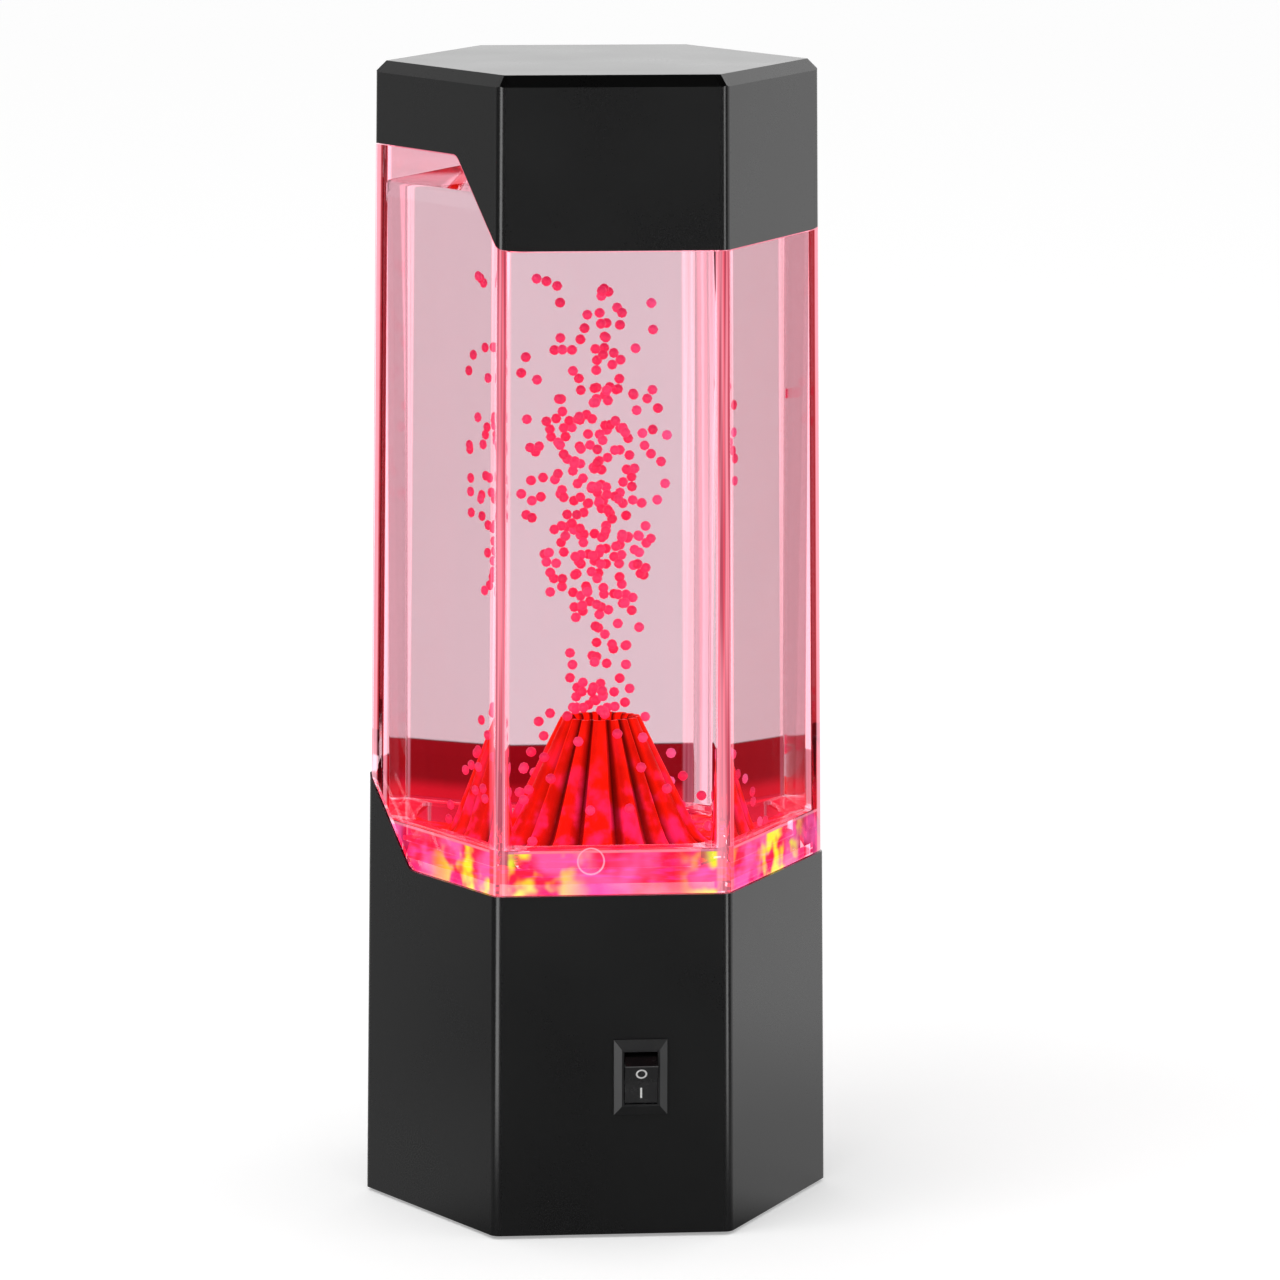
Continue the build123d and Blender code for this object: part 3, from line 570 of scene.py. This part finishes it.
turns = flute_turns()
bpy.ops.object.select_all(action="DESELECT")
bpy.ops.mesh.primitive_circle_add(vertices=len(turns), radius=cone_radius(flank_rises[0]),
                                  fill_type="NOTHING", location=(0, 0, floor_level + flank_rises[0]))
cone = bpy.context.object
cone.name = "volcano"
bpy.ops.object.transform_apply(location=True, rotation=False, scale=False)
take_whole()
for low, high in zip(flank_rises, flank_rises[1:]):
    bpy.ops.mesh.extrude_edges_move(TRANSFORM_OT_translate={"value": (0, 0, high - low)})
    share = cone_radius(high) / cone_radius(low)
    bpy.ops.transform.resize(value=(share, share, 1), center_override=(0, 0, 0))
for share, drop in crater_steps:
    bpy.ops.mesh.extrude_edges_move(TRANSFORM_OT_translate={"value": (0, 0, drop)})
    bpy.ops.transform.resize(value=(share, share, 1), center_override=(0, 0, 0))
bpy.ops.mesh.edge_face_add()
bpy.ops.object.mode_set(mode="OBJECT")
# The groove layer holds how much painted shade each point gets in the grooves.
groove = cone.data.attributes.new("groove", "FLOAT", "POINT")
flute = cone.data.attributes.new("flute", "FLOAT", "POINT")
for index, vertex in enumerate(cone.data.vertices):
    turn, drop, dark = turns[index % len(turns)]
    radius = math.hypot(vertex.co.x, vertex.co.y)
    fade = 1 if vertex.co.z > floor_level + full_groove_rise else 0.4
    angle = 2 * math.pi * turn / flute_count
    radius *= 1 - drop * fade
    vertex.co.x = radius * math.cos(angle)
    vertex.co.y = radius * math.sin(angle)
    groove.data[index].value = dark * min(1, (vertex.co.z - floor_level) / groove_shade_rise)
    flute.data[index].value = 0.5 + 0.5 * math.sin(5.1 * (index % len(turns)) // steps)

bpy.ops.object.select_all(action="DESELECT")
bpy.ops.mesh.primitive_cylinder_add(vertices=6, radius=flange_flat / lean, depth=flange_top - floor_level,
                                    location=(0, 0, (flange_top + floor_level) / 2),
                                    rotation=(0, 0, hexagon_turn))
flange = bpy.context.object
bpy.ops.object.transform_apply(location=True, rotation=True, scale=False)
take_whole()
bpy.ops.mesh.bevel(offset=flange_bevel, segments=2, affect="EDGES")
bpy.ops.object.mode_set(mode="OBJECT")
flange.data.attributes.new("groove", "FLOAT", "POINT")
for value in flange.data.attributes.new("flute", "FLOAT", "POINT").data:
    value.value = 1
bpy.ops.object.select_all(action="DESELECT")
flange.select_set(True)
cone.select_set(True)
bpy.context.view_layer.objects.active = cone
bpy.ops.object.join()
take_whole()
close_up()
bpy.ops.object.shade_smooth_by_angle(angle=math.radians(50))

cone_red, place = start_finish("cone_red")
groove_painted_shade = place.node("ShaderNodeAttribute", {"attribute_name": "groove"}, out="Fac")
height = place.axis("Z")
bright = place.node("ShaderNodeAttribute", {"attribute_name": "flute"}, out="Fac")
mottle = place.noise(150, 3)
ripple = place.noise(700, 2)
# Painted glow: red ridges, brighter on some flutes, with painted pink highlights in mottles near the foot.
low = 1 - height.rise(0.112, 0.140)
ridge_glow = (mottle.rise(0.3, 0.7) * 0.4 + bright * 0.6).blend((0.42, 0.004, 0.001, 1), (0.90, 0.011, 0.002, 1))
ridge_glow = (low * mottle.rise(0.45, 0.70)).blend(ridge_glow, (0.95, 0.02, 0.12, 1))
surface(place, {
    "Base Color": groove_painted_shade.blend((0.40, 0.004, 0.004, 1), (0.04, 0.001, 0.0005, 1)),
    "Roughness": 0.24 + ripple * 0.2,
    "IOR": 1.13,
    "Emission Color": groove_painted_shade.blend(ridge_glow, (0.055, 0.001, 0.0004, 1)),
    "Emission Strength": 1.4,
    "Normal": place.bump(ripple, 0.0001, 0.4),
})
coat(cone, cone_red)
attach(cone, "lamp")
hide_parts("volcano_cone")


# Beads
# Some three hundred small red plastic beads that the water jet lifts out of the crater and lets sink again.
# Most of them fly in a plume that widens upwards; the rest roll down the cone. They carry a painted pink-red
# glow, lighter towards +X.
bead_radius = 0.00145
bead_gap = 2.02 * bead_radius
bead_squash = 0.97
plume_beads = 302
all_beads = 340
crater_level = 0.140
plume_height = 0.121
plume_drift = 0.002
neck_spread = 0.0085
belly_spread = 0.0125
belly_share = 0.60
draw = random.Random(7)
spots = []


def has_room(spot):
    """Whether a bead at this spot keeps clear of the beads placed before it."""
    return all((spot - other).length > bead_gap for other in spots)


while len(spots) < plume_beads:
    share = draw.random()
    spread = neck_spread + belly_spread * math.sin(math.pi / 2 * min(1, share / belly_share)) ** 1.6
    crowd = 0.20 + 0.80 * math.exp(-((share - 0.50) / 0.25) ** 2) + 0.8 * math.exp(-(share / 0.07) ** 2)
    if draw.random() > crowd:
        continue
    turn = draw.uniform(0, 2 * math.pi)
    radius = spread * draw.random() ** 0.88
    spot = Vector((radius * math.cos(turn) - plume_drift * math.sin(math.pi * share), radius * math.sin(turn),
                   crater_level + bead_radius + share * plume_height))
    if has_room(spot):
        spots.append(spot)
while len(spots) < all_beads:
    turn = draw.uniform(0, 2 * math.pi)
    rise = draw.uniform(0.004, 0.039)
    radius = cone_radius(rise) * (1 + crown_share) + bead_radius + draw.uniform(0.0005, 0.005)
    spot = Vector((radius * math.cos(turn), radius * math.sin(turn), floor_level + rise))
    if has_room(spot):
        spots.append(spot)

bpy.ops.object.select_all(action="DESELECT")
bpy.ops.mesh.primitive_uv_sphere_add(segments=8, ring_count=6, radius=bead_radius)
first_bead = bpy.context.object
first_bead.name = "beads"
take_whole()
bpy.ops.transform.resize(value=(1, 1, bead_squash))
bpy.ops.object.mode_set(mode="OBJECT")
bpy.ops.object.shade_smooth()
first_bead.data.attributes.new("tone", "FLOAT", "POINT")
copies = []
for _ in spots[1:]:
    copy = first_bead.copy()
    copy.data = first_bead.data.copy()
    bpy.context.scene.collection.objects.link(copy)
    copies.append(copy)
for bead, spot in zip([first_bead] + copies, spots):
    bead.data.transform(Matrix.Translation(spot) @ Matrix.Rotation(draw.uniform(0, math.pi), 4, "X"))
    tone = draw.random()
    for value in bead.data.attributes["tone"].data:
        value.value = tone
    bead.select_set(True)
bpy.context.view_layer.objects.active = first_bead
bpy.ops.object.join()
beads = first_bead

bead_red, place = start_finish("bead_red")
tone = place.node("ShaderNodeAttribute", {"attribute_name": "tone"}, out="Fac")
# The beads' emission is a painted glow, lighter pink towards +X as a painted highlight.
side = place.axis("X").rise(0.004, 0.024)
skin = place.noise(1400, 2)
rosy_glow = tone.blend((0.80, 0.016, 0.085, 1), (0.95, 0.045, 0.17, 1))
surface(place, {
    "Base Color": tone.blend((0.80, 0.05, 0.13, 1), (0.90, 0.10, 0.22, 1)),
    "Roughness": 0.35 + skin * 0.2,
    "Emission Color": (side * tone).blend(rosy_glow, (0.95, 0.16, 0.42, 1)),
    "Emission Strength": 0.8,
    "Normal": place.bump(skin, 0.00003, 0.4),
})
coat(beads, bead_red)
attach(beads, "lamp")
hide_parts("lava_beads")


# Water
# Clear water, pink from the light below, up to a line under the cap; it wets the tank's inner walls.
well_bottom = 0.1036
well_flat = 0.04207
water_bottom = 0.10895
water_top = 0.2899
wet_overlap = 0.00005
outer_flat = 0.05716
draft_start = 0.001
wall = 0.0051
corner_round = 0.00115
meniscus_width = 0.0012
meniscus_fall = 0.0007


def cavity_flat(level):
    """Distance from the axis to a flat of the tank's drafted inner wall at a height."""
    return outer_flat - (level - draft_start) * math.tan(draft) - wall + wet_overlap


cavity_low = cavity_flat(water_bottom)
cavity_share = cavity_flat(water_top) / cavity_low
bpy.ops.object.select_all(action="DESELECT")
bpy.ops.mesh.primitive_cylinder_add(vertices=6, radius=cavity_low / lean, depth=water_top - water_bottom,
                                    location=(0, 0, (water_top + water_bottom) / 2),
                                    rotation=(0, 0, hexagon_turn))
water = bpy.context.object
water.name = "water_fill"
bpy.ops.object.transform_apply(location=True, rotation=True, scale=False)
for edge in water.data.edges:
    ends = [water.data.vertices[k].co.z for k in edge.vertices]
    edge.select = abs(ends[0] - ends[1]) > 0.01
for polygon in water.data.polygons:
    polygon.select = False
for vertex in water.data.vertices:
    vertex.select = False
bpy.ops.object.mode_set(mode="EDIT")
bpy.ops.mesh.select_mode(type="EDGE")
bpy.ops.mesh.bevel(offset=corner_round, segments=5, affect="EDGES")
bpy.ops.object.mode_set(mode="OBJECT")
for vertex in water.data.vertices:
    vertex.select = vertex.co.z > water_bottom + 0.05
bpy.ops.object.mode_set(mode="EDIT")
bpy.ops.mesh.select_mode(type="VERT")
bpy.ops.transform.resize(value=(cavity_share, cavity_share, 1), center_override=(0, 0, 0))
bpy.ops.mesh.select_mode(type="FACE")
bpy.ops.mesh.inset(thickness=meniscus_width)
bpy.ops.transform.translate(value=(0, 0, -meniscus_fall))
bpy.ops.mesh.select_all(action="DESELECT")
bpy.ops.object.mode_set(mode="OBJECT")
for polygon in water.data.polygons:
    polygon.select = polygon.normal.z < -0.9
bpy.ops.object.mode_set(mode="EDIT")
bpy.ops.mesh.extrude_region_move()
well_share = well_flat / cavity_low
bpy.ops.transform.resize(value=(well_share, well_share, 1), center_override=(0, 0, 0))
bpy.ops.mesh.extrude_region_move(TRANSFORM_OT_translate={"value": (0, 0, well_bottom - water_bottom)})
close_up()
bpy.ops.object.shade_smooth_by_angle(angle=math.radians(40))

water_finish, place = start_finish("water")
stir = place.noise(40, 3)
surface(place, {
    "Base Color": stir.blend((0.76, 0.96, 0.92, 1), (0.82, 1.0, 0.96, 1)),
    "Roughness": 0.0,
    "IOR": 1.333,
    "Specular Tint": (0.10, 0.10, 0.10, 1),
    "Transmission Weight": 1.0,
    "Normal": place.bump(stir, 0.0002, 0.03),
})
coat(water, water_finish)
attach(water, "lamp")
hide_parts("water")


# Cap
# The black cap and its inner lid lift off together; it has the base's satin finish.
dress(black_plastic, "cap_shell")


# Studio
# A white floor that fades into a white surround. Mirror-like rays see a tent with a dark front,
# a grey left side and bright panels; rays that tank and water mirror sharply see the pink of their walls.
tent_levels = ((0.0, 1.0), (0.13, 1.0), (0.17, 1.5), (0.30, 1.5), (0.36, 0.42), (0.44, 0.40), (0.47, 0.12),
               (0.61, 0.10), (0.625, 4.4), (0.69, 4.4), (0.70, 0.13), (0.825, 0.13), (0.835, 4.0),
               (0.875, 4.0), (0.885, 0.12), (0.95, 0.12), (0.985, 1.0))
near_levels = ((0.0, 0.65), (0.30, 0.65), (0.36, 0.42), (0.55, 0.35), (0.64, 0.14), (0.86, 0.14), (0.95, 0.6))
wall_red = (0.42, 0.03, 0.04, 1)
wall_pink = (0.97, 0.74, 0.78, 1)


def tent(place, levels):
    """Tent brightness by direction round the lamp."""
    return turn_ramp(place, [(share, (level,) * 3) for share, level in levels])


def ray(place, fact):
    """What is known of the ray that is being followed."""
    return place.node("ShaderNodeLightPath", out=fact)


def ray_kinds(place):
    """Rays mirrored, rays mirrored sharply, rays straight from the camera, and rays through many walls."""
    unbent = 1 - place.math("MINIMUM", ray(place, "Glossy Depth"), 1.0)
    through = ray(place, "Is Transmission Ray") * unbent
    straight = place.math("MAXIMUM", ray(place, "Is Camera Ray"), through)
    crossed = ray(place, "Transmission Depth").rise(4.2, 4.8)
    return ray(place, "Is Glossy Ray"), ray(place, "Is Singular Ray"), straight, crossed


world = bpy.data.worlds.new("surround")
bpy.context.scene.world = world
world.use_nodes = True
world.node_tree.nodes.clear()
place = Wire(world.node_tree).node("ShaderNodeTexCoord", out="Generated")
mirrored, sharp, straight, crossed = ray_kinds(place)
overhead = place.axis("Z").rise(0.5, 0.85)
rising = place.axis("Z").rise(0.0, 0.08)
roof = overhead.blend(tent(place, tent_levels), (0.02, 0.02, 0.02, 1))
inner = place.math("MAXIMUM", crossed, rising).blend(wall_red, wall_pink)
soft = place.node("ShaderNodeBackground", {}, {"Color": (1, 1, 1, 1), "Strength": 0.8})
white = place.node("ShaderNodeBackground", {}, {"Color": (1, 1, 1, 1), "Strength": 1.0})
panels = place.node("ShaderNodeBackground", {}, {"Color": roof, "Strength": 1.0})
rosy_glow = place.node("ShaderNodeBackground", {}, {"Color": inner, "Strength": 1.0})
lit = mirrored.mix_shaders(soft, panels)
lit = sharp.mix_shaders(lit, rosy_glow)
lit = straight.mix_shaders(lit, white)
place.node("ShaderNodeOutputWorld", {}, {"Surface": lit})

bpy.ops.object.select_all(action="DESELECT")
bpy.ops.mesh.primitive_circle_add(vertices=96, radius=9, fill_type="NGON")
floor = bpy.context.object
floor.name = "studio_floor"
floor_white, place = start_finish("floor_white")
mirrored, sharp, straight, crossed = ray_kinds(place)
far = place.node("ShaderNodeVectorMath", {"operation": "LENGTH"}, {0: place}, out="Value")
spread = far.rise(0.12, 0.32).blend(tent(place, near_levels), tent(place, tent_levels))
inner = crossed.blend(wall_red, wall_pink)
paper = place.node("ShaderNodeBsdfDiffuse", {}, {"Color": (0.8, 0.8, 0.8, 1)})
fill = place.node("ShaderNodeEmission", {}, {"Color": (1, 1, 1, 1), "Strength": 0.33})
lifted = place.node("ShaderNodeAddShader", {}, {0: paper, 1: fill})
panels = place.node("ShaderNodeEmission", {}, {"Color": spread, "Strength": 1.0})
rosy_glow = place.node("ShaderNodeEmission", {}, {"Color": inner, "Strength": 1.0})
clear = place.node("ShaderNodeBsdfTransparent")
shown = mirrored.mix_shaders(paper, panels)
shown = sharp.mix_shaders(shown, rosy_glow)
shown = straight.mix_shaders(shown, lifted)
shown = far.rise(3.5, 7.5).mix_shaders(shown, clear)
place.node("ShaderNodeOutputMaterial", {}, {"Surface": shown})
coat(floor, floor_white)

key_data = bpy.data.lights.new("key_softbox", "AREA")
key_data.shape = "RECTANGLE"
key_data.size = 1.6
key_data.size_y = 1.2
key_data.energy = 14
key = bpy.data.objects.new("key_softbox", key_data)
key.location = (-1.1, -0.9, 2.1)
key.rotation_euler = (Vector((0, 0, 0.15)) - key.location).to_track_quat("-Z", "Y").to_euler()
bpy.context.scene.collection.objects.link(key)
key.visible_glossy = False

camera_data = bpy.data.cameras.new("camera")
camera_data.sensor_width = 36
camera_data.lens = 177.9
camera = bpy.data.objects.new("camera", camera_data)
bpy.context.scene.collection.objects.link(camera)
camera.location = (-0.1411, -1.7520, 0.4669)
aim = Vector((0.01215, -0.00098, 0.15842))
sight = (aim - camera.location).to_track_quat("-Z", "Y").to_matrix().to_4x4()
roll = Matrix.Rotation(math.radians(0.144), 4, "Z")
camera.rotation_euler = (sight @ roll).to_euler()
bpy.context.scene.camera = camera
bpy.context.scene.view_settings.view_transform = "Standard"
bpy.context.scene.cycles.transmission_bounces = 16
bpy.context.scene.cycles.glossy_bounces = 12
bpy.context.scene.cycles.max_bounces = 24
